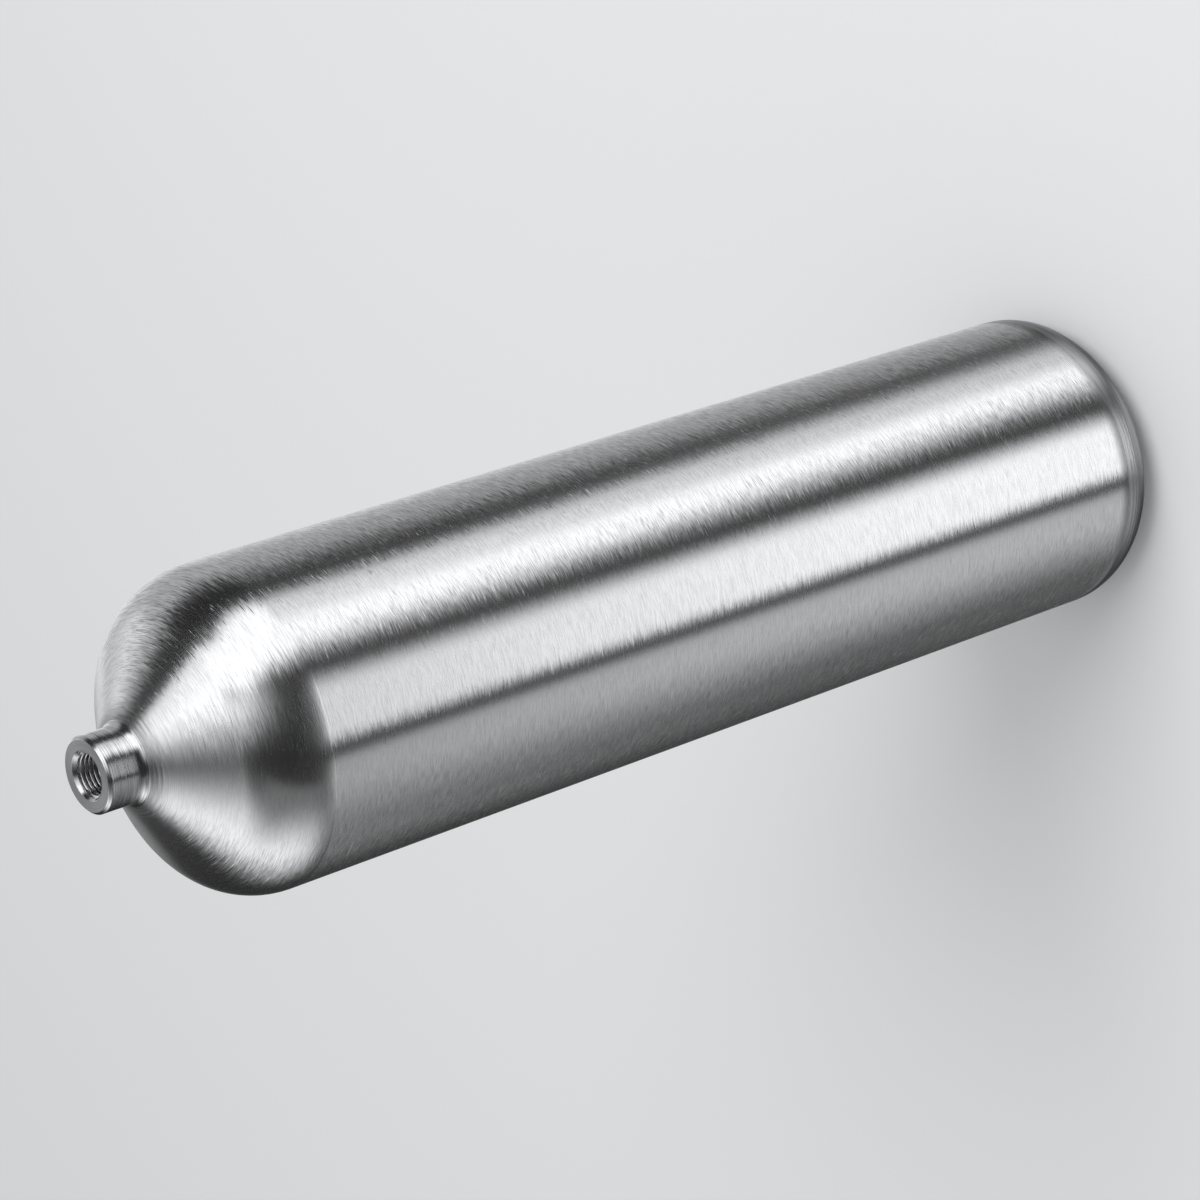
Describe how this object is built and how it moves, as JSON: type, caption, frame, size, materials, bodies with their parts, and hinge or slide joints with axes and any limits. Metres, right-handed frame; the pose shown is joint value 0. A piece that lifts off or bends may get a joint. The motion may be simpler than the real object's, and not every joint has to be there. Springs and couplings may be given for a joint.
{
  "type": "air tank",
  "caption": "Seamless aluminium air tank: a plain cylinder with a rounded base, a domed shoulder and a short neck with a threaded port.",
  "frame": {"origin": "centre of the flat base, on the tank's axis", "axes": "+Z along the tank's axis from the base to the neck; the tank is a solid of revolution, so X and Y are free"},
  "size_m": [0.092, 0.092, 0.368],
  "materials": {
    "tank": "brushed round the axis, with a turned neck"
  },
  "bodies": {
    "root": {"tank": "tank"}
  },
  "joints": []
}
